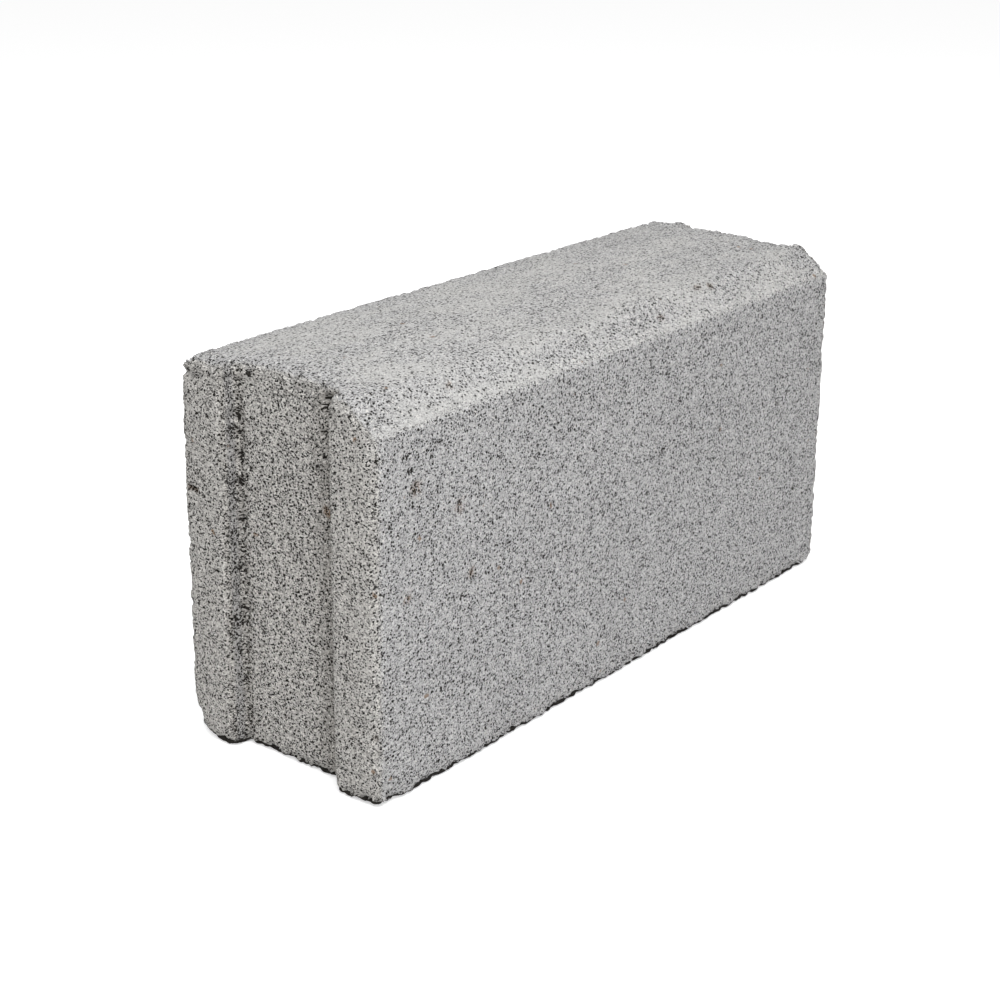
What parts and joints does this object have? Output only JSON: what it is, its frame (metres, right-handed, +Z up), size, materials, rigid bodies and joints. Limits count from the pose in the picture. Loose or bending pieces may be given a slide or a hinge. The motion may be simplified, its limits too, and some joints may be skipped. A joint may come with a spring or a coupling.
{
  "type": "concrete kerb",
  "caption": "Straight precast concrete kerb block with a chamfered road edge, crowned top and an upright mortar groove down each end.",
  "frame": {"origin": "middle of the bed, the flat underside that the kerb stands on", "axes": "+X along the kerb, +Y towards the footway side (the road side with the chamfer faces -Y), +Z up"},
  "size_m": [0.5, 0.16, 0.25],
  "materials": {
    "concrete": "open-textured dry-pressed grey concrete, matt, with fine pores"
  },
  "bodies": {
    "root": {"kerb": "concrete"}
  },
  "joints": []
}
